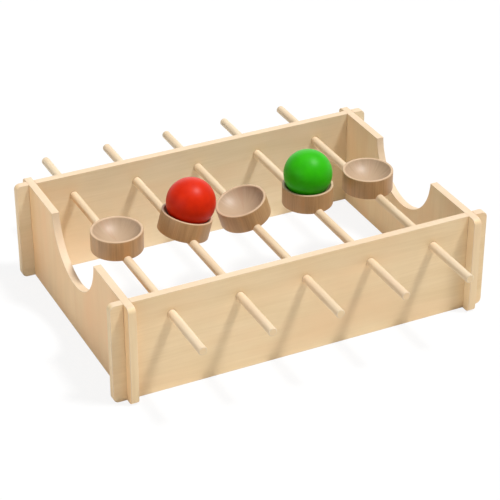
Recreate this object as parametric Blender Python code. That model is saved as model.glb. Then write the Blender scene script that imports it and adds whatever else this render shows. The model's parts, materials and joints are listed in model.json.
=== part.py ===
"""Wooden ball-passing run: five cups on turning rods, in an open frame of four slotted boards.

Metres, +Z up. The frame stands on Z = 0, and the middle of the rods is over the origin. X runs along the long
boards, and Y runs along the rods from the front board to the rear one.
"""
import math

import bmesh
import bpy
from mathutils import Matrix

# Boards of the frame
BOARD_THICKNESS = 0.009
BOARD_HEIGHT = 0.122
LONG_BOARD_LENGTH = 0.460
END_BOARD_LENGTH = 0.320
LONG_BOARD_SPACING = 0.285
END_BOARD_SPACING = 0.420
BOARD_CORNER_RADIUS = 0.0065
CUTOUT_RADIUS = 0.063
CUTOUT_DEPTH = 0.059

# Rods, set back in their holes so that they stand out further at the rear
ROD_COUNT = 5
ROD_PITCH = 0.080
ROD_HEIGHT = 0.095
ROD_RADIUS = 0.005
ROD_LENGTH = 0.460
ROD_SET_BACK = 0.004
ROD_END_ROUND = 0.001

# Cups: the rod's axis lies in the plane of the cup's base
CUP_RADIUS = 0.030
CUP_HEIGHT = 0.024
CUP_EDGE_ROUND = 0.001
BOWL_RIM_RADIUS = 0.0273
BOWL_DEPTH = 0.015
CUP_TILTS_DEG = (0.0, 15.5, -17.0, 0.0, 0.0)

# Balls, each lying in the bowl of the cup with this number
BALL_RADIUS = 0.0285
RED_BALL_CUP = 2
GREEN_BALL_CUP = 4

# Clearance between pieces that touch or run in each other
GAP = 0.0003

# Fineness of the round shapes
CORNER_STEPS = 4
CUTOUT_STEPS = 28
HOLE_SEGMENTS = 32
ROD_SEGMENTS = 24
ROD_END_STEPS = 3
CUP_SEGMENTS = 40
CUP_EDGE_STEPS = 2
BOWL_STEPS = 9
BALL_SEGMENTS = 32
BALL_RINGS = 16
SMOOTH_ANGLE = math.radians(35)
MERGE_DISTANCE = 1e-6

# Colours, 0 to 1 in sRGB
BOARD_COLOUR = (0.90, 0.79, 0.62)
ROD_COLOUR = (0.97, 0.87, 0.72)
CUP_COLOUR = (0.62, 0.47, 0.34)
RED = (0.82, 0.16, 0.07)
GREEN = (0.17, 0.68, 0.09)
BARE_WOOD_ROUGHNESS = 0.6
PAINT_ROUGHNESS = 0.3

# Sizes that follow from the ones above
SLOT_WIDTH = BOARD_THICKNESS + 2 * GAP
HOLE_RADIUS = ROD_RADIUS + GAP
BOWL_RADIUS = (BOWL_RIM_RADIUS ** 2 + BOWL_DEPTH ** 2) / (2 * BOWL_DEPTH)
BOWL_CENTRE_HEIGHT = CUP_HEIGHT - BOWL_DEPTH + BOWL_RADIUS
BALL_DROP = BOWL_RADIUS - BALL_RADIUS - GAP

QUARTER_TURN = math.pi / 2
ORIGIN = (0.0, 0.0, 0.0)


def clear_scene():
    for old in list(bpy.data.objects):
        bpy.data.objects.remove(old, do_unlink=True)


def to_linear(channel):
    if channel <= 0.04045:
        return channel / 12.92
    return ((channel + 0.055) / 1.055) ** 2.4


def finish(name, colour, roughness):
    """A non-metallic finish of one colour."""
    material = bpy.data.materials.new(name)
    material.use_nodes = True
    shader = material.node_tree.nodes["Principled BSDF"]
    shader.inputs["Base Color"].default_value = [to_linear(channel) for channel in colour] + [1.0]
    shader.inputs["Roughness"].default_value = roughness
    shader.inputs["Metallic"].default_value = 0.0
    return material


def place(name, data, parent, location=ORIGIN, turn=ORIGIN):
    """An object, or an empty where there is no data, under its parent."""
    placed = bpy.data.objects.new(name, data)
    bpy.context.collection.objects.link(placed)
    placed.parent = parent
    placed.location = location
    placed.rotation_euler = turn
    return placed


def add_piece(name, mesh, material, parent, location=ORIGIN, turn=ORIGIN):
    mesh.materials.clear()
    mesh.materials.append(material)
    return place(name, mesh, parent, location, turn)


def add_cutter(name, mesh, parent):
    cutter = place(name, mesh, parent)
    cutter.hide_render = True
    cutter.display_type = "WIRE"
    return cutter


def cut(piece, cutter):
    modifier = piece.modifiers.new("cut", "BOOLEAN")
    modifier.operation = "DIFFERENCE"
    modifier.solver = "EXACT"
    modifier.object = cutter


def to_mesh(bm, name, smooth=True):
    bmesh.ops.recalc_face_normals(bm, faces=bm.faces)
    mesh = bpy.data.meshes.new(name)
    bm.to_mesh(mesh)
    bm.free()
    if smooth:
        mesh.shade_smooth()
        mesh.set_sharp_from_angle(angle=SMOOTH_ANGLE)
    return mesh


def arc(centre, radius, start, end, steps):
    """Points on an arc about centre, from the start angle to the end angle, with both ends."""
    angles = [start + (end - start) * step / steps for step in range(steps + 1)]
    return [(centre[0] + radius * math.cos(a), centre[1] + radius * math.sin(a)) for a in angles]


def board_outline(length, bottom_edge, top_edge):
    """Outline of a round-cornered board, anticlockwise, with what is cut into its long edges."""
    radius = BOARD_CORNER_RADIUS
    right = length / 2 - radius
    high = BOARD_HEIGHT - radius
    bottom_left = arc((-right, radius), radius, -2 * QUARTER_TURN, -QUARTER_TURN, CORNER_STEPS)
    bottom_right = arc((right, radius), radius, -QUARTER_TURN, 0.0, CORNER_STEPS)
    top_right = arc((right, high), radius, 0.0, QUARTER_TURN, CORNER_STEPS)
    top_left = arc((-right, high), radius, QUARTER_TURN, 2 * QUARTER_TURN, CORNER_STEPS)
    return bottom_left + bottom_edge + bottom_right + top_right + top_edge + top_left


def slot(centre, edge, end, direction):
    """Corners of a slot from a board's edge to its blind end, walked along +X or -X."""
    near = centre - direction * SLOT_WIDTH / 2
    far = centre + direction * SLOT_WIDTH / 2
    return [(near, edge), (near, end), (far, end), (far, edge)]


def board_mesh(name, outline):
    """A board standing in the XZ plane, its thickness centred on Y = 0."""
    bm = bmesh.new()
    face = bm.faces.new([bm.verts.new((x, -BOARD_THICKNESS / 2, z)) for x, z in outline])
    grown = bmesh.ops.extrude_face_region(bm, geom=[face])["geom"]
    back = [item for item in grown if isinstance(item, bmesh.types.BMVert)]
    bmesh.ops.translate(bm, verts=back, vec=(0.0, BOARD_THICKNESS, 0.0))
    return to_mesh(bm, name, smooth=False)


def long_board_mesh():
    """Long board, slotted from its top edge down to half its height for the end boards."""
    crossing = END_BOARD_SPACING / 2
    slot_floor = BOARD_HEIGHT / 2 - GAP / 2
    top_edge = slot(crossing, BOARD_HEIGHT, slot_floor, -1)
    top_edge += slot(-crossing, BOARD_HEIGHT, slot_floor, -1)
    return board_mesh("long_board", board_outline(LONG_BOARD_LENGTH, [], top_edge))


def end_board_mesh():
    """End board, slotted from its bottom edge, with a wide round cut-out in its top edge."""
    crossing = LONG_BOARD_SPACING / 2
    slot_roof = BOARD_HEIGHT / 2 + GAP / 2
    bottom_edge = slot(-crossing, 0.0, slot_roof, 1) + slot(crossing, 0.0, slot_roof, 1)
    centre_rise = CUTOUT_RADIUS - CUTOUT_DEPTH
    tip = math.asin(centre_rise / CUTOUT_RADIUS)
    centre = (0.0, BOARD_HEIGHT + centre_rise)
    cutout = arc(centre, CUTOUT_RADIUS, -tip, tip - math.pi, CUTOUT_STEPS)
    return board_mesh("end_board", board_outline(END_BOARD_LENGTH, bottom_edge, cutout))


def add_cylinder_along_y(bm, radius, length, segments, centre=ORIGIN):
    lay_down = Matrix.Translation(centre) @ Matrix.Rotation(QUARTER_TURN, 4, "X")
    bmesh.ops.create_cone(bm, cap_ends=True, segments=segments, radius1=radius, radius2=radius,
                          depth=length, matrix=lay_down)


def rod_mesh():
    """Dowel rod along Y, with both ends rounded over."""
    bm = bmesh.new()
    add_cylinder_along_y(bm, ROD_RADIUS, ROD_LENGTH, ROD_SEGMENTS)
    caps = [face for face in bm.faces if len(face.verts) == ROD_SEGMENTS]
    rims = [edge for cap in caps for edge in cap.edges]
    bmesh.ops.bevel(bm, geom=rims, offset=ROD_END_ROUND, segments=ROD_END_STEPS, profile=0.5,
                    affect="EDGES", material=-1)
    return to_mesh(bm, "rod")


def rod_holes_mesh():
    """Five bars that cut the rod holes through both long boards."""
    bm = bmesh.new()
    reach = LONG_BOARD_SPACING + 2 * BOARD_THICKNESS
    for number in range(1, ROD_COUNT + 1):
        add_cylinder_along_y(bm, HOLE_RADIUS, reach, HOLE_SEGMENTS, (rod_x(number), 0.0, ROD_HEIGHT))
    return to_mesh(bm, "rod_holes")


def groove_mesh():
    """A bar that cuts the half-round groove across a cup's base."""
    bm = bmesh.new()
    add_cylinder_along_y(bm, HOLE_RADIUS, 3 * CUP_RADIUS, HOLE_SEGMENTS)
    return to_mesh(bm, "groove")


def cup_profile():
    """Half section of a cup as (radius, height), from the middle of its bowl to the middle of its base."""
    opening = math.asin(BOWL_RIM_RADIUS / BOWL_RADIUS)
    bowl = arc((0.0, BOWL_CENTRE_HEIGHT), BOWL_RADIUS, -QUARTER_TURN, opening - QUARTER_TURN, BOWL_STEPS)
    r = CUP_EDGE_ROUND
    rim = arc((CUP_RADIUS - r, CUP_HEIGHT - r), r, QUARTER_TURN, 0.0, CUP_EDGE_STEPS)
    foot = arc((CUP_RADIUS - r, r), r, 0.0, -QUARTER_TURN, CUP_EDGE_STEPS)
    return bowl + rim + foot + [(0.0, 0.0)]


def cup_mesh():
    """Cup turned about Z from its half section."""
    bm = bmesh.new()
    verts = [bm.verts.new((radius, 0.0, height)) for radius, height in cup_profile()]
    edges = [bm.edges.new(pair) for pair in zip(verts, verts[1:])]
    bmesh.ops.spin(bm, geom=verts + edges, cent=ORIGIN, axis=(0.0, 0.0, 1.0), angle=2 * math.pi,
                   steps=CUP_SEGMENTS, use_merge=True)
    bmesh.ops.remove_doubles(bm, verts=bm.verts, dist=MERGE_DISTANCE)
    return to_mesh(bm, "cup")


def ball_mesh(name):
    bm = bmesh.new()
    bmesh.ops.create_uvsphere(bm, u_segments=BALL_SEGMENTS, v_segments=BALL_RINGS, radius=BALL_RADIUS)
    return to_mesh(bm, name)


def rod_x(number):
    return (number - (ROD_COUNT + 1) / 2) * ROD_PITCH


def cup_tilt(number):
    """How far a cup's mouth leans towards +X."""
    return math.radians(CUP_TILTS_DEG[number - 1])


def ball_seat(number):
    """Where a ball's centre comes to lie in a cup, plumb below the middle of the bowl's sphere."""
    tilt = cup_tilt(number)
    return (BALL_DROP * math.sin(tilt), 0.0, BOWL_CENTRE_HEIGHT - BALL_DROP * math.cos(tilt))


def build_frame(toy):
    """Four boards, under an empty in the middle of the frame."""
    middle = place("frame_middle", None, toy, (0.0, -ROD_SET_BACK, 0.0))
    wood = finish("board_wood", BOARD_COLOUR, BARE_WOOD_ROUGHNESS)
    holes = add_cutter("rod_holes", rod_holes_mesh(), middle)
    long_board = long_board_mesh()
    for name, side in (("front_panel", -1), ("rear_panel", 1)):
        board = add_piece(name, long_board, wood, middle, (0.0, side * LONG_BOARD_SPACING / 2, 0.0))
        cut(board, holes)
    end_board = end_board_mesh()
    for name, side in (("left_end_panel", -1), ("right_end_panel", 1)):
        location = (side * END_BOARD_SPACING / 2, 0.0, 0.0)
        add_piece(name, end_board, wood, middle, location, (0.0, 0.0, QUARTER_TURN))


def build_rods(toy):
    """Five rods with their cups, each pair under an empty on its turning axis."""
    rod_wood = finish("rod_wood", ROD_COLOUR, BARE_WOOD_ROUGHNESS)
    cup_wood = finish("cup_wood", CUP_COLOUR, BARE_WOOD_ROUGHNESS)
    rod = rod_mesh()
    cup = cup_mesh()
    groove = groove_mesh()
    axes = {}
    for number in range(1, ROD_COUNT + 1):
        location = (rod_x(number), 0.0, ROD_HEIGHT)
        axis = place(f"turning_axis_{number}", None, toy, location, (0.0, cup_tilt(number), 0.0))
        add_piece(f"rod_{number}", rod, rod_wood, axis)
        cup_piece = add_piece(f"cup_{number}", cup, cup_wood, axis)
        cut(cup_piece, add_cutter(f"groove_{number}", groove, axis))
        axes[number] = axis
    return axes


def build_balls(axes):
    for name, colour, number in (("ball_red", RED, RED_BALL_CUP), ("ball_green", GREEN, GREEN_BALL_CUP)):
        paint = finish(f"{name}_paint", colour, PAINT_ROUGHNESS)
        add_piece(name, ball_mesh(name), paint, axes[number], ball_seat(number))


clear_scene()
marble_run = place("marble_run", None, None)
build_frame(marble_run)
turning_axes = build_rods(marble_run)
build_balls(turning_axes)
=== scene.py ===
"""Looks of a wooden ball-passing run: slotted boards, dowel rods, turned cups and painted balls.

Metres, +Z up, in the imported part's own frame: X along the long boards, Y along the rods, floor at Z = 0.
"""

import json
import math

import bmesh
import bpy
from mathutils import Matrix, Vector


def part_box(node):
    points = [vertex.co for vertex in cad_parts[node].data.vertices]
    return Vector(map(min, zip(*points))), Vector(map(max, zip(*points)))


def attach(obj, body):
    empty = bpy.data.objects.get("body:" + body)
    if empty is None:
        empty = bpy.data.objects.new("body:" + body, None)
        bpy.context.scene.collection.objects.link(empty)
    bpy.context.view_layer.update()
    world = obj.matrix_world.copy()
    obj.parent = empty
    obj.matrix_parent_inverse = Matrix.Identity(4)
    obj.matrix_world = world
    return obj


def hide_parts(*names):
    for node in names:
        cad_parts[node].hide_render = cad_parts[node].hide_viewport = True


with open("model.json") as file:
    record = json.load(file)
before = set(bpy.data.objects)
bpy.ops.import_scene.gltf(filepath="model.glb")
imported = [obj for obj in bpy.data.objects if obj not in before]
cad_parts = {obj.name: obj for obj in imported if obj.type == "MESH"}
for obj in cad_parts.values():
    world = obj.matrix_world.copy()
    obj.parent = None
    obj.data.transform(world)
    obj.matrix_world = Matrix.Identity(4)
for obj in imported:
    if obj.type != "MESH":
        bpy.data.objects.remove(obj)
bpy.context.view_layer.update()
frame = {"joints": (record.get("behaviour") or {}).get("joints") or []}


# Long boards: the front and rear sides of the frame, sawn from pale birch, sanded and left bare.
# Both are drilled for the five rods, and slotted from the top edge to half their height for the end boards.
BOARD_CORNER_RADIUS = 0.0065
BOARD_CORNER_STEPS = 10
EDGE_EASE = 0.0005
EDGE_EASE_STEPS = 4
FACE_MARGIN = 0.0004
CLEARANCE = 0.0001
HOLE_SEGMENTS = 96
BOARD_FACE, BOARD_EDGE, BOARD_END = range(3)
SQUARE_ON = 0.9
SMOOTH_ANGLE = math.radians(35)
QUARTER_TURN = math.pi / 2

long_low, long_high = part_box("front_panel")
end_low, end_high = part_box("right_end_panel")
rod_low, rod_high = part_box("rod_1")
board_height = long_high.z
half_height = board_height / 2
board_thickness = long_high.y - long_low.y
slot_half_width = board_thickness / 2 + CLEARANCE
end_board_x = (end_low.x + end_high.x) / 2
rod_radius = (rod_high.x - rod_low.x) / 2
turning_axes = {joint["child"]: Vector(joint["pos_m"])
                for joint in frame["joints"] if joint["type"] == "hinge"}
rod_holes = [(axis.x, axis.z) for axis in turning_axes.values()]


def slot_corners(centre, mouth, blind_end):
    """A slot's four corners, from -X to +X."""
    left = centre - slot_half_width
    right = centre + slot_half_width
    return [(left, mouth), (left, blind_end), (right, blind_end), (right, mouth)]


def mark_out(bm, points):
    """A stretch of a board's outline in the XZ plane."""
    return [bm.verts.new((x, 0.0, z)) for x, z in points]


def saw_board(bm, outline, round_corners):
    """Fills the outline as a flat blank, and rounds the chosen corners."""
    bm.faces.new(outline)
    bmesh.ops.bevel(bm, geom=round_corners, offset=BOARD_CORNER_RADIUS, segments=BOARD_CORNER_STEPS,
                    profile=0.5, affect="VERTICES", material=-1)


def drill(bm, centres, radius):
    """Cuts round holes through a flat blank."""
    for x, z in centres:
        place = Matrix.Translation((x, 0.0, z)) @ Matrix.Rotation(QUARTER_TURN, 4, "X")
        bmesh.ops.create_circle(bm, cap_ends=False, radius=radius, segments=HOLE_SEGMENTS, matrix=place)
    bmesh.ops.delete(bm, geom=bm.faces[:], context="FACES_ONLY")
    bmesh.ops.triangle_fill(bm, edges=bm.edges[:], use_beauty=True, normal=(0.0, -1.0, 0.0))


def board_surface(face, end_starts):
    """Whether a face is on a board's broad side, along an edge or at an end."""
    if abs(face.normal.y) > SQUARE_ON:
        return BOARD_FACE
    at_end = abs(face.calc_center_median().x) > end_starts
    return BOARD_END if at_end else BOARD_EDGE


def thicken_board(bm):
    """Gives a blank its thickness about Y = 0, with every edge eased by a small quarter round."""
    body_thickness = board_thickness - 2 * EDGE_EASE
    grown = bmesh.ops.extrude_face_region(bm, geom=bm.faces[:])["geom"]
    back = [item for item in grown if isinstance(item, bmesh.types.BMVert)]
    bmesh.ops.translate(bm, verts=back, vec=(0.0, body_thickness, 0.0))
    bmesh.ops.translate(bm, verts=bm.verts, vec=(0.0, -body_thickness / 2, 0.0))
    bmesh.ops.recalc_face_normals(bm, faces=bm.faces)
    end_starts = max(vert.co.x for vert in bm.verts) - BOARD_CORNER_RADIUS / 2
    for face in bm.faces:
        face.material_index = board_surface(face, end_starts)
    for side in (-1, 1):
        broad_side = [face for face in bm.faces if face.normal.y * side > SQUARE_ON]
        for step in range(EDGE_EASE_STEPS):
            start = QUARTER_TURN * step / EDGE_EASE_STEPS
            end = QUARTER_TURN * (step + 1) / EDGE_EASE_STEPS
            strip = bmesh.ops.inset_region(
                bm, faces=broad_side, use_boundary=True, use_even_offset=True,
                thickness=EDGE_EASE * (math.cos(start) - math.cos(end)),
                depth=EDGE_EASE * (math.sin(end) - math.sin(start)))["faces"]
            for eased in strip:
                eased.material_index = BOARD_EDGE
        bmesh.ops.inset_region(bm, faces=broad_side, use_boundary=True, use_even_offset=True,
                               thickness=FACE_MARGIN, depth=0.0)


def show(name, bm, finishes, body, node):
    """Makes a finished piece that stands for a node and moves with a body."""
    mesh = bpy.data.meshes.new(name)
    bm.to_mesh(mesh)
    bm.free()
    for finish in finishes:
        mesh.materials.append(finish)
    mesh.shade_smooth()
    mesh.set_sharp_from_angle(angle=SMOOTH_ANGLE)
    piece = bpy.data.objects.new(name, mesh)
    bpy.context.scene.collection.objects.link(piece)
    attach(piece, body)
    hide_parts(node)


def srgb(red, green, blue):
    """A colour as seen, 0 to 255, as the linear colour that a shader takes."""
    channels = [channel / 255 for channel in (red, green, blue)]
    return [c / 12.92 if c <= 0.04045 else ((c + 0.055) / 1.055) ** 2.4 for c in channels] + [1.0]


def new_finish(name):
    """A material with its plain shader, ready for nodes."""
    finish = bpy.data.materials.new(name)
    finish.use_nodes = True
    return finish


def add_node(finish, kind, inputs, **settings):
    """Adds a node whose inputs are plain values or other nodes' outputs."""
    made = finish.node_tree.nodes.new(kind)
    for name, value in settings.items():
        setattr(made, name, value)
    for name, value in inputs.items():
        if isinstance(value, bpy.types.NodeSocket):
            finish.node_tree.links.new(value, made.inputs[name])
        else:
            made.inputs[name].default_value = value
    return made


def object_position(finish):
    """Where a point lies, in metres from the origin that all pieces share."""
    return add_node(finish, "ShaderNodeTexCoord", {}).outputs["Object"]


def vector_math(finish, operation, inputs):
    """The vector that one step of vector arithmetic gives."""
    return add_node(finish, "ShaderNodeVectorMath", inputs, operation=operation).outputs["Vector"]


def mix_values(finish, share, first, second):
    """The first value where share is 0, the second where it is 1: a Mix node's inputs 0, 2 and 3."""
    return add_node(finish, "ShaderNodeMix", {0: share, 2: first, 3: second}).outputs[0]


def mix_colours(finish, share, first, second):
    """The first colour where share is 0, the second where it is 1: a Mix node's inputs 0, 6 and 7."""
    mixed = add_node(finish, "ShaderNodeMix", {0: share, 6: first, 7: second}, data_type="RGBA")
    return mixed.outputs[2]


def spread(finish, value, low, high, to_low=0.0, to_high=1.0):
    """Stretches a value from low..high to to_low..to_high, and holds it there."""
    stretched = add_node(finish, "ShaderNodeMapRange", {
        "Value": value, "From Min": low, "From Max": high, "To Min": to_low, "To Max": to_high})
    return stretched.outputs["Result"]


def grain_noise(finish, position, axis, length, width, detail, output="Fac"):
    """Noise drawn out along one axis, with marks about this long and this wide."""
    scale = [1 / width] * 3
    scale[axis] = 1 / length
    drawn_out = add_node(finish, "ShaderNodeMapping", {"Vector": position, "Scale": scale})
    noise = add_node(finish, "ShaderNodeTexNoise", {
        "Vector": drawn_out.outputs["Vector"], "Scale": 1.0, "Detail": detail})
    return noise.outputs[output]


def relief(finish, height, strength, depth):
    """The normals of a fine relief, with a height of 0 to 1 standing for this depth."""
    bump = add_node(finish, "ShaderNodeBump", {"Height": height, "Strength": strength, "Distance": depth})
    return bump.outputs["Normal"]


def dress(finish, colour, roughness, normal):
    """Links a finish's colour, roughness and relief to its shader, and gives the shader."""
    shader = finish.node_tree.nodes["Principled BSDF"]
    for name, value in (("Base Color", colour), ("Roughness", roughness), ("Normal", normal)):
        finish.node_tree.links.new(value, shader.inputs[name])
    return shader


# Marks in bare wood: length along the grain, width across it, and fineness of their own detail
WOOD_CLOUDS = 0.09, 0.035, 3.0
WOOD_BANDS = 0.35, 0.014, 3.0
WOOD_STREAKS = 0.07, 0.0024, 4.0
WOOD_PORES = 0.006, 0.0006, 1.0
WOOD_BLUSH = 0.12, 0.05, 2.0
GRAIN_DRIFT = 0.16, 0.05, 1.0
GRAIN_DRIFT_REACH = 0.012
MIDDLE_GREY = (0.5, 0.5, 0.5)

# How the marks show: shares of a mix, and the stretch of noise that is spread over a range
CLOUD_SHARE = 0.5
STREAK_SHARE = 0.33
WOOD_TONE_SPREAD = 0.36, 0.64
WOOD_BLUSH_SPREAD = 0.45, 0.72, 0.0, 0.8
WOOD_PORE_SPREAD = 0.66, 0.80, 0.0, 0.35
WOOD_ROUGHNESS_SPREAD = 0.3, 0.7, 0.52, 0.66
PORE_RELIEF_SHARE = 0.4
WOOD_RELIEF_STRENGTH = 0.25
WOOD_RELIEF_DEPTH = 0.0002


def wandering(finish, position, axis):
    """The position with a slow sideways drift, so that grain drawn on it isn't ruler-straight."""
    drift = grain_noise(finish, position, axis, *GRAIN_DRIFT, output="Color")
    both_ways = vector_math(finish, "SUBTRACT", {0: drift, 1: MIDDLE_GREY})
    shift = vector_math(finish, "SCALE", {0: both_ways, "Scale": GRAIN_DRIFT_REACH})
    return vector_math(finish, "ADD", {0: position, 1: shift})


def bare_wood(name, axis, pale, deep, blush):
    """Sanded bare wood with its grain along one axis: soft clouds, bands, fine streaks and short pores."""
    finish = new_finish(name)
    position = object_position(finish)
    grain = wandering(finish, position, axis)
    clouds = grain_noise(finish, position, axis, *WOOD_CLOUDS)
    bands = grain_noise(finish, grain, axis, *WOOD_BANDS)
    streaks = grain_noise(finish, grain, axis, *WOOD_STREAKS)
    pores = grain_noise(finish, grain, axis, *WOOD_PORES)
    warmth = grain_noise(finish, position, axis, *WOOD_BLUSH)
    figure = mix_values(finish, CLOUD_SHARE, bands, clouds)
    tone = mix_values(finish, STREAK_SHARE, figure, streaks)
    colour = mix_colours(finish, spread(finish, tone, *WOOD_TONE_SPREAD), deep, pale)
    colour = mix_colours(finish, spread(finish, warmth, *WOOD_BLUSH_SPREAD), colour, blush)
    colour = mix_colours(finish, spread(finish, pores, *WOOD_PORE_SPREAD), colour, deep)
    roughness = spread(finish, streaks, *WOOD_ROUGHNESS_SPREAD)
    height = mix_values(finish, PORE_RELIEF_SHARE, streaks, pores)
    dress(finish, colour, roughness, relief(finish, height, WOOD_RELIEF_STRENGTH, WOOD_RELIEF_DEPTH))
    return finish


# Tones of bare wood: pale, deep and blush
ALONG_X, ALONG_Y, ALONG_Z = range(3)
FRONT_TONES = srgb(241, 215, 173), srgb(230, 201, 155), srgb(237, 202, 157)
# The rear board's greyer tones are painted shade. It is the same birch as the front board, greyed so that
# its shaded inner face renders duller.
REAR_TONES_PAINTED_SHADE = srgb(239, 221, 188), srgb(227, 208, 170), srgb(235, 209, 172)
# Edge tones: paler and greyer than the faces. This is partly the sanded edge wood's own tone and partly a
# painted highlight for the brightly lit top edges.
EDGE_TONES_WITH_PAINTED_HIGHLIGHT = srgb(232, 208, 177), srgb(224, 198, 164), srgb(230, 200, 168)
long_edge_wood = bare_wood("long_board_edge", ALONG_X, *EDGE_TONES_WITH_PAINTED_HIGHLIGHT)
long_end_wood = bare_wood("long_board_end", ALONG_X, *FRONT_TONES)

# Each long board takes its own face tones, and the rear board's hold painted shade.
for name, node, tones in (("front_board", "front_panel", FRONT_TONES),
                          ("rear_board", "rear_panel", REAR_TONES_PAINTED_SHADE)):
    low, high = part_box(node)
    bm = bmesh.new()
    corners = mark_out(bm, [(low.x, 0.0), (low.x, board_height)])
    slots = mark_out(bm, slot_corners(-end_board_x, board_height, half_height)
                     + slot_corners(end_board_x, board_height, half_height))
    far_corners = mark_out(bm, [(high.x, board_height), (high.x, 0.0)])
    saw_board(bm, corners + slots + far_corners, corners + far_corners)
    drill(bm, rod_holes, rod_radius + CLEARANCE)
    thicken_board(bm)
    bmesh.ops.translate(bm, verts=bm.verts, vec=(0.0, (low.y + high.y) / 2, 0.0))
    finishes = bare_wood(f"{name}_face", ALONG_X, *tones), long_edge_wood, long_end_wood
    show(name, bm, finishes, "frame", node)


# End boards: the two short sides, sawn from the same birch with the grain upright, and left bare.
# They are slotted from the bottom edge, and pushed down over the long boards. A wide round cut-out in the
# top edge lets a ball or a hand pass over.
CUTOUT_RADIUS = 0.063
CUTOUT_DEPTH = 0.059
CUTOUT_STEPS = 72
# Painted light: each end board has its own tones on the same birch. The left one is brighter and warmer,
# standing in for light its outer face lacks. The right one is paler and greyer, for its shaded inner face.
LEFT_TONES_PAINTED_LIGHT = srgb(246, 211, 164), srgb(236, 198, 147), srgb(245, 197, 145)
RIGHT_TONES_PAINTED_LIGHT = srgb(243, 220, 181), srgb(232, 206, 163), srgb(241, 205, 161)

_, rear_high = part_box("rear_panel")
long_board_spacing = rear_high.y - long_high.y
cutout_rise = CUTOUT_RADIUS - CUTOUT_DEPTH
cutout_centre = Vector((0.0, 0.0, board_height + cutout_rise))
cutout_half_width = math.sqrt(CUTOUT_RADIUS ** 2 - cutout_rise ** 2)
cutout_sweep = 2 * math.asin(cutout_half_width / CUTOUT_RADIUS)
# The end boards' edges take the same tones: partly the edge wood's own tone, partly a painted highlight on
# the lit top edges.
short_edge_wood = bare_wood("end_board_edge", ALONG_Z, *EDGE_TONES_WITH_PAINTED_HIGHLIGHT)
short_end_wood = bare_wood("end_board_end", ALONG_Z, *FRONT_TONES)

# Each end board takes its own tones, with painted light.
for name, node, tones in (("left_end_board", "left_end_panel", LEFT_TONES_PAINTED_LIGHT),
                          ("right_end_board", "right_end_panel", RIGHT_TONES_PAINTED_LIGHT)):
    low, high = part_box(node)
    middle = (low + high) / 2
    half_length = (high.y - low.y) / 2
    bm = bmesh.new()
    cutout_start = bm.verts.new((-cutout_half_width, 0.0, board_height))
    bmesh.ops.spin(bm, geom=[cutout_start], cent=cutout_centre, axis=(0.0, -1.0, 0.0),
                   angle=cutout_sweep, steps=CUTOUT_STEPS)
    cutout = bm.verts[:]
    far_corners = mark_out(bm, [(half_length, board_height), (half_length, 0.0)])
    slots = mark_out(bm, slot_corners(-long_board_spacing / 2, 0.0, half_height)
                     + slot_corners(long_board_spacing / 2, 0.0, half_height))
    slots.reverse()
    corners = mark_out(bm, [(-half_length, 0.0), (-half_length, board_height)])
    saw_board(bm, cutout + far_corners + slots + corners, corners + far_corners)
    thicken_board(bm)
    bmesh.ops.rotate(bm, verts=bm.verts, matrix=Matrix.Rotation(QUARTER_TURN, 3, "Z"))
    bmesh.ops.translate(bm, verts=bm.verts, vec=(middle.x, middle.y, 0.0))
    finishes = bare_wood(f"{name}_face", ALONG_Z, *tones), short_edge_wood, short_end_wood
    show(name, bm, finishes, "frame", node)


# Rods: five birch dowels, pushed through the long boards so that both ends stand out as handles.
# They are cut square, and the ends are sanded round at the edge.
ROD_SEGMENTS = 64
ROD_END_ROUND = 0.001
ROD_END_STEPS = 4
ROD_SIDE, ROD_END = range(2)
ROD_TONES = srgb(233, 214, 184), srgb(216, 190, 153), srgb(227, 199, 166)

rod_side_wood = bare_wood("rod_side", ALONG_Y, *ROD_TONES)
rod_end_wood = bare_wood("rod_end", ALONG_Y, *FRONT_TONES)


def rod_caps(bm):
    """The flat faces at a rod's two ends."""
    return [face for face in bm.faces if len(face.verts) == ROD_SEGMENTS]


for number, body in enumerate(turning_axes, start=1):
    low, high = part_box(f"rod_{number}")
    lie_along_y = Matrix.Translation(turning_axes[body]) @ Matrix.Rotation(QUARTER_TURN, 4, "X")
    bm = bmesh.new()
    bmesh.ops.create_cone(bm, cap_ends=True, segments=ROD_SEGMENTS, radius1=rod_radius,
                          radius2=rod_radius, depth=high.y - low.y, matrix=lie_along_y)
    rims = [edge for cap in rod_caps(bm) for edge in cap.edges]
    bmesh.ops.bevel(bm, geom=rims, offset=ROD_END_ROUND, segments=ROD_END_STEPS, profile=0.5,
                    affect="EDGES", material=-1)
    ends = rod_caps(bm)
    for face in bm.faces:
        face.material_index = ROD_END if face in ends else ROD_SIDE
    bmesh.ops.inset_individual(bm, faces=ends, thickness=FACE_MARGIN, depth=0.0, use_even_offset=True)
    show(f"dowel_{number}", bm, (rod_side_wood, rod_end_wood), body, f"rod_{number}")


# Cups: turned on a lathe from brown wood, with a shallow round bowl and a straight wall, and oiled.
# A half-round groove under each fits over its rod, and the two are glued together.
CUP_RADIUS = 0.030
CUP_HEIGHT = 0.024
BOWL_RIM_RADIUS = 0.0273
BOWL_DEPTH = 0.015
CUP_TILTS_DEG = (0.0, 15.5, -17.0, 0.0, 0.0)
CUP_SEGMENTS = 128
BOWL_STEPS = 28
GROOVE_CUTTER_LENGTH = 3 * CUP_RADIUS
OUTER_ROUND = 0.0009
INNER_ROUND = 0.0005
ROUND_STEPS = 4
CUP_WALL, CUP_BOWL = range(2)
MERGE_DISTANCE = 1e-6
RING_TOLERANCE = 1e-5
ORIGIN = (0.0, 0.0, 0.0)
UPWARDS = (0.0, 0.0, 1.0)

# Tones of the turned wood: pale, deep and accent, and a paler tone painted on the rim as a highlight
WALL_TONES = srgb(198, 160, 116), srgb(171, 133, 91), srgb(194, 146, 97)
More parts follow.
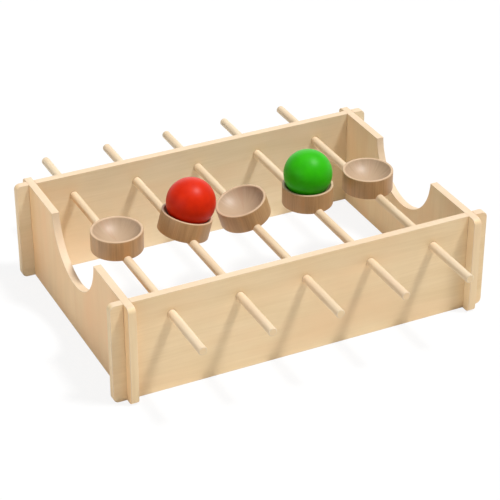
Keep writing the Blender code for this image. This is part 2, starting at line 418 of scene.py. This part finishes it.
# The bowl's paler, pinker tones are partly the bowl's own finish and partly a painted sheen of light in the
# hollow.
BOWL_TONES_WITH_PAINTED_SHEEN = srgb(187, 160, 132), srgb(168, 141, 112), srgb(176, 142, 113)
RIM_HIGHLIGHT_TONE = srgb(204, 174, 141)

# Marks in the turned wood: length up the wall, width round it, and fineness of their own detail
CUP_BANDS = 0.12, 0.0085, 2.0
CUP_STREAKS = 0.04, 0.0012, 3.0
CUP_PORES = 0.004, 0.0005, 1.0

# How they show: shares of a mix, and the stretch of noise, radius or height that is spread over a range
CUP_STREAK_SHARE = 0.5
CUP_TONE_SPREAD = 0.34, 0.66
CUP_ACCENT_SPREAD = 0.52, 0.70, 0.0, 0.65
CUP_PORE_SPREAD = 0.62, 0.78, 0.0, 0.4
CUP_ROUGHNESS_SPREAD = 0.3, 0.7, 0.42, 0.54
CALM_MIDDLE_SPREAD = 0.006, 0.024
CALM_MIDDLE_TONE = 0.55
# The top of the cup is mixed towards the paler rim tone: a painted highlight.
RIM_HIGHLIGHT_SPREAD = CUP_HEIGHT - 0.0012, CUP_HEIGHT - 0.0002, 0.0, 0.85
CUP_RELIEF_STRENGTH = 0.3
CUP_RELIEF_DEPTH = 0.0002
OIL_GLOSS = 0.55

bowl_radius = (BOWL_RIM_RADIUS ** 2 + BOWL_DEPTH ** 2) / (2 * BOWL_DEPTH)
bowl_opening = math.asin(BOWL_RIM_RADIUS / bowl_radius)
bowl_floor = CUP_HEIGHT - BOWL_DEPTH


def ring(bm, radius, height):
    """The edges of a turned piece that go round at this radius and height."""
    def on_ring(vert):
        off_radius = abs(math.hypot(vert.co.x, vert.co.y) - radius)
        return off_radius < RING_TOLERANCE and abs(vert.co.z - height) < RING_TOLERANCE
    return [edge for edge in bm.edges if all(on_ring(vert) for vert in edge.verts)]


def cup_surface(face):
    """Whether a face of a freshly turned cup is in the bowl or on the rest of it."""
    middle = face.calc_center_median()
    above_floor = middle.z > bowl_floor - RING_TOLERANCE
    inside_rim = math.hypot(middle.x, middle.y) < BOWL_RIM_RADIUS
    return CUP_BOWL if above_floor and inside_rim else CUP_WALL


def turn_cup():
    """A cup about Z with its base on Z = 0, turned from its half section."""
    bm = bmesh.new()
    bowl_middle = bm.verts.new((0.0, 0.0, bowl_floor))
    bmesh.ops.spin(bm, geom=[bowl_middle], cent=(0.0, 0.0, bowl_floor + bowl_radius),
                   axis=(0.0, -1.0, 0.0), angle=bowl_opening, steps=BOWL_STEPS)
    bm.verts.ensure_lookup_table()
    section = [bm.verts[-1]]
    for radius, height in ((CUP_RADIUS, CUP_HEIGHT), (CUP_RADIUS, 0.0), (0.0, 0.0)):
        section.append(bm.verts.new((radius, 0.0, height)))
        bm.edges.new(section[-2:])
    bmesh.ops.spin(bm, geom=bm.verts[:] + bm.edges[:], cent=ORIGIN, axis=UPWARDS, angle=2 * math.pi,
                   steps=CUP_SEGMENTS, use_merge=True)
    bmesh.ops.remove_doubles(bm, verts=bm.verts, dist=MERGE_DISTANCE)
    bmesh.ops.recalc_face_normals(bm, faces=bm.faces)
    for face in bm.faces:
        face.material_index = cup_surface(face)
    outer_rings = ring(bm, CUP_RADIUS, CUP_HEIGHT) + ring(bm, CUP_RADIUS, 0.0)
    bmesh.ops.bevel(bm, geom=outer_rings, offset=OUTER_ROUND, segments=ROUND_STEPS, profile=0.5,
                    affect="EDGES", material=-1)
    bmesh.ops.bevel(bm, geom=ring(bm, BOWL_RIM_RADIUS, CUP_HEIGHT), offset=INNER_ROUND,
                    segments=ROUND_STEPS, profile=0.5, affect="EDGES", material=-1)
    return bm


def loose_object(name, bm):
    """A plain object for the length of a cut."""
    mesh = bpy.data.meshes.new(name)
    bm.to_mesh(mesh)
    bm.free()
    made = bpy.data.objects.new(name, mesh)
    bpy.context.scene.collection.objects.link(made)
    return made


def cut_groove(bm):
    """Cuts the half-round groove for the rod across a cup's base, along Y."""
    blank = loose_object("cup_blank", bm)
    rod_shape = bmesh.new()
    groove_radius = rod_radius + CLEARANCE
    bmesh.ops.create_cone(rod_shape, cap_ends=True, segments=ROD_SEGMENTS, radius1=groove_radius,
                          radius2=groove_radius, depth=GROOVE_CUTTER_LENGTH,
                          matrix=Matrix.Rotation(QUARTER_TURN, 4, "X"))
    cutter = loose_object("groove_cutter", rod_shape)
    groove = blank.modifiers.new("groove", "BOOLEAN")
    groove.operation = "DIFFERENCE"
    groove.solver = "EXACT"
    groove.object = cutter
    evaluated = blank.evaluated_get(bpy.context.evaluated_depsgraph_get())
    grooved = bpy.data.meshes.new_from_object(evaluated)
    bpy.data.objects.remove(cutter)
    bpy.data.objects.remove(blank)
    return grooved


def vector_length(finish, vector):
    """How far a point lies from the origin."""
    return add_node(finish, "ShaderNodeVectorMath", {0: vector}, operation="LENGTH").outputs["Value"]


def turned_wood(name, axis, tilt, seed, pale, deep, accent):
    """Oiled turned wood: streaks run up the wall and out from the middle of the bowl, with a painted
    highlight on the rim.
    """
    finish = new_finish(name)
    upright = add_node(finish, "ShaderNodeMapping", {
        "Vector": object_position(finish), "Location": axis, "Rotation": (0.0, tilt, 0.0)},
        vector_type="TEXTURE").outputs["Vector"]
    height = add_node(finish, "ShaderNodeSeparateXYZ", {"Vector": upright}).outputs["Z"]
    lifted = add_node(finish, "ShaderNodeCombineXYZ", {"Z": height}).outputs["Vector"]
    flat = vector_math(finish, "MULTIPLY", {0: upright, 1: (1.0, 1.0, 0.0)})
    outwards = vector_math(finish, "NORMALIZE", {0: flat})
    round_wall = vector_math(finish, "SCALE", {0: outwards, "Scale": CUP_RADIUS})
    wrapped = vector_math(finish, "ADD", {0: round_wall, 1: lifted})
    shifted = vector_math(finish, "ADD", {0: wrapped, 1: (0.0, 0.0, seed)})
    bands = grain_noise(finish, shifted, ALONG_Z, *CUP_BANDS)
    streaks = grain_noise(finish, shifted, ALONG_Z, *CUP_STREAKS)
    pores = grain_noise(finish, upright, ALONG_Z, *CUP_PORES)
    off_centre = spread(finish, vector_length(finish, flat), *CALM_MIDDLE_SPREAD)
    figure = mix_values(finish, CUP_STREAK_SHARE, bands, streaks)
    tone = mix_values(finish, off_centre, CALM_MIDDLE_TONE, figure)
    colour = mix_colours(finish, spread(finish, tone, *CUP_TONE_SPREAD), deep, pale)
    colour = mix_colours(finish, spread(finish, bands, *CUP_ACCENT_SPREAD), colour, accent)
    colour = mix_colours(finish, spread(finish, pores, *CUP_PORE_SPREAD), colour, deep)
    # Painted highlight: towards the top of the cup the colour goes over to the paler rim tone.
    colour = mix_colours(finish, spread(finish, height, *RIM_HIGHLIGHT_SPREAD), colour, RIM_HIGHLIGHT_TONE)
    roughness = spread(finish, streaks, *CUP_ROUGHNESS_SPREAD)
    shader = dress(finish, colour, roughness, relief(finish, tone, CUP_RELIEF_STRENGTH, CUP_RELIEF_DEPTH))
    shader.inputs["Specular IOR Level"].default_value = OIL_GLOSS
    return finish


grooved_cup = cut_groove(turn_cup())

for number, body in enumerate(turning_axes, start=1):
    axis = turning_axes[body]
    tilt = math.radians(CUP_TILTS_DEG[number - 1])
    place = Matrix.Translation(axis) @ Matrix.Rotation(tilt, 4, "Y")
    wall = turned_wood(f"cup_{number}_wall", axis, tilt, number, *WALL_TONES)
    # The bowl's tones carry a painted sheen as well as the wood's own colour.
    bowl = turned_wood(f"cup_{number}_bowl", axis, tilt, number, *BOWL_TONES_WITH_PAINTED_SHEEN)
    bm = bmesh.new()
    bm.from_mesh(grooved_cup)
    bmesh.ops.dissolve_degenerate(bm, dist=MERGE_DISTANCE, edges=bm.edges)
    bmesh.ops.transform(bm, matrix=place, verts=bm.verts)
    show(f"turned_cup_{number}", bm, (wall, bowl), body, f"cup_{number}")


# Balls: two wooden balls, turned and dipped in satin paint, one red and one green.
# They lie loose in the bowls of the second and the fourth cup.
BALL_RADIUS = 0.0285
BALL_SEGMENTS = 96
BALL_RINGS = 48
RED_TONES = srgb(215, 42, 4), srgb(205, 36, 3)
GREEN_TONES = srgb(49, 182, 4), srgb(44, 173, 3)
PAINT_COAT = 0.012, 0.012, 2.0
PAINT_SKIN = 0.0016, 0.0016, 1.0
PAINT_TONE_SPREAD = 0.35, 0.65
PAINT_ROUGHNESS_SPREAD = 0.3, 0.7, 0.37, 0.43
PAINT_RELIEF_STRENGTH = 0.2
PAINT_RELIEF_DEPTH = 0.00005
PAINT_GLOSS = 0.14


def turn_ball(centre):
    """A ball turned about the upright through its centre."""
    bm = bmesh.new()
    lowest = bm.verts.new((0.0, 0.0, -BALL_RADIUS))
    bmesh.ops.spin(bm, geom=[lowest], cent=ORIGIN, axis=(0.0, -1.0, 0.0), angle=math.pi, steps=BALL_RINGS)
    bmesh.ops.spin(bm, geom=bm.verts[:] + bm.edges[:], cent=ORIGIN, axis=UPWARDS, angle=2 * math.pi,
                   steps=BALL_SEGMENTS, use_merge=True)
    bmesh.ops.remove_doubles(bm, verts=bm.verts, dist=MERGE_DISTANCE)
    bmesh.ops.recalc_face_normals(bm, faces=bm.faces)
    bmesh.ops.translate(bm, verts=bm.verts, vec=centre)
    return bm


def satin_paint(name, bright, deep):
    """Dipped satin paint: a slightly uneven coat with a fine orange-peel skin."""
    finish = new_finish(name)
    position = object_position(finish)
    coat = grain_noise(finish, position, ALONG_Z, *PAINT_COAT)
    skin = grain_noise(finish, position, ALONG_Z, *PAINT_SKIN)
    colour = mix_colours(finish, spread(finish, coat, *PAINT_TONE_SPREAD), deep, bright)
    roughness = spread(finish, coat, *PAINT_ROUGHNESS_SPREAD)
    peel = relief(finish, skin, PAINT_RELIEF_STRENGTH, PAINT_RELIEF_DEPTH)
    shader = dress(finish, colour, roughness, peel)
    shader.inputs["Specular IOR Level"].default_value = PAINT_GLOSS
    return finish


for name, node, slot, tones in (("red_ball", "ball_red", "red_paint", RED_TONES),
                                ("green_ball", "ball_green", "green_paint", GREEN_TONES)):
    low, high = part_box(node)
    bm = turn_ball((low + high) / 2)
    show(name, bm, (satin_paint(f"{name}_paint", *tones),), name, node)


# Floor: a wide white sheet that the toy stands on.
# Seen directly it is close to white, and near the toy it keeps a soft part of the shadow.
FLOOR_HALF_WIDTH = 6.0
FLOOR_COLOUR = (0.90, 0.90, 0.90, 1.0)
FLOOR_GLOW_SPREAD = 0.6, 1.8, 0.87, 1.0
WHITE = (1.0, 1.0, 1.0, 1.0)


def larger(finish, first, second):
    """The larger of two values."""
    return add_node(finish, "ShaderNodeMath", {0: first, 1: second}, operation="MAXIMUM").outputs["Value"]


def seen_directly(finish):
    """1 for rays from the camera and for reflections, 0 for the light that falls on things."""
    path = add_node(finish, "ShaderNodeLightPath", {}).outputs
    shiny = larger(finish, path["Is Glossy Ray"], path["Is Transmission Ray"])
    return larger(finish, path["Is Camera Ray"], shiny)


def mix_shaders(finish, share, first, second):
    """The first shader where share is 0, the second where it is 1."""
    return add_node(finish, "ShaderNodeMixShader", {0: share, 1: first, 2: second}).outputs["Shader"]


sheet = new_finish("floor_sheet")
sheet.node_tree.nodes.remove(sheet.node_tree.nodes["Principled BSDF"])
distance = vector_length(sheet, object_position(sheet))
whiteness = spread(sheet, distance, *FLOOR_GLOW_SPREAD)
glow_share = add_node(sheet, "ShaderNodeMath", {0: seen_directly(sheet), 1: whiteness},
                      operation="MULTIPLY").outputs["Value"]
matt = add_node(sheet, "ShaderNodeBsdfDiffuse", {"Color": FLOOR_COLOUR})
glow = add_node(sheet, "ShaderNodeEmission", {"Color": WHITE, "Strength": 1.0})
surface = mix_shaders(sheet, glow_share, matt.outputs["BSDF"], glow.outputs["Emission"])
sheet.node_tree.links.new(surface, sheet.node_tree.nodes["Material Output"].inputs["Surface"])

bm = bmesh.new()
bmesh.ops.create_grid(bm, x_segments=1, y_segments=1, size=FLOOR_HALF_WIDTH)
floor_mesh = bpy.data.meshes.new("floor")
bm.to_mesh(floor_mesh)
bm.free()
floor_mesh.materials.append(sheet)
floor = bpy.data.objects.new("floor", floor_mesh)
bpy.context.scene.collection.objects.link(floor)


# Light: a small bright key lamp high on the right and a little in front, a wide soft lamp straight above,
# weaker ones on the left and behind, and an even dim room. The white floor throws their light back up.
KEY_DIRECTION = Vector((0.40, -0.24, 1.0))
KEY_STRENGTH = 3.04
KEY_ANGLE = math.radians(10)
OVERHEAD_PLACE = Vector((0.0, 0.0, 2.2))
OVERHEAD_SIZE = 2.0
OVERHEAD_POWER = 10.2
LEFT_PLACE = Vector((-1.9, -0.5, 0.9))
LEFT_POWER = 8.0
REAR_PLACE = Vector((0.7, 2.0, 0.9))
REAR_POWER = 6.0
SIDE_SIZE = 1.6
ROOM_STRENGTH = 0.115

key = bpy.data.lights.new("key", "SUN")
key.energy = KEY_STRENGTH
key.angle = KEY_ANGLE
key_lamp = bpy.data.objects.new("key", key)
key_lamp.rotation_euler = KEY_DIRECTION.to_track_quat("Z", "Y").to_euler()
bpy.context.scene.collection.objects.link(key_lamp)

for name, place, size, power in (("overhead", OVERHEAD_PLACE, OVERHEAD_SIZE, OVERHEAD_POWER),
                                 ("left", LEFT_PLACE, SIDE_SIZE, LEFT_POWER),
                                 ("rear", REAR_PLACE, SIDE_SIZE, REAR_POWER)):
    softbox = bpy.data.lights.new(name, "AREA")
    softbox.energy = power
    softbox.size = size
    soft_lamp = bpy.data.objects.new(name, softbox)
    soft_lamp.location = place
    soft_lamp.rotation_euler = place.to_track_quat("Z", "Y").to_euler()
    bpy.context.scene.collection.objects.link(soft_lamp)

room = bpy.data.worlds.new("room")
room.use_nodes = True
room_light = room.node_tree.nodes["Background"]
room_light.inputs["Color"].default_value = WHITE
room_light.inputs["Strength"].default_value = ROOM_STRENGTH
backdrop = add_node(room, "ShaderNodeBackground", {"Color": WHITE, "Strength": 1.0})
surroundings = mix_shaders(room, seen_directly(room), room_light.outputs["Background"],
                           backdrop.outputs["Background"])
room.node_tree.links.new(surroundings, room.node_tree.nodes["World Output"].inputs["Surface"])
bpy.context.scene.world = room


# Camera: a long lens about two metres away, looking down on the front left corner of the toy.
# It is aimed near the toy's middle, so that the whole toy stands in a white margin.
VIEW_AZIMUTH = math.radians(-25.954)
VIEW_ELEVATION = math.radians(30.918)
VIEW_DISTANCE = 2.113
AIM = Vector((0.0034, -0.0039, 0.0513))
LENS_MM = 130.56
SENSOR_MM = 36.0

camera_data = bpy.data.cameras.new("camera")
camera_data.lens = LENS_MM
camera_data.sensor_width = SENSOR_MM
camera = bpy.data.objects.new("camera", camera_data)
backwards = Vector((math.sin(VIEW_AZIMUTH) * math.cos(VIEW_ELEVATION),
                    -math.cos(VIEW_AZIMUTH) * math.cos(VIEW_ELEVATION), math.sin(VIEW_ELEVATION)))
camera.location = AIM + VIEW_DISTANCE * backwards
camera.rotation_euler = (QUARTER_TURN - VIEW_ELEVATION, 0.0, VIEW_AZIMUTH)
bpy.context.scene.collection.objects.link(camera)
bpy.context.scene.camera = camera
bpy.context.scene.view_settings.view_transform = "Standard"
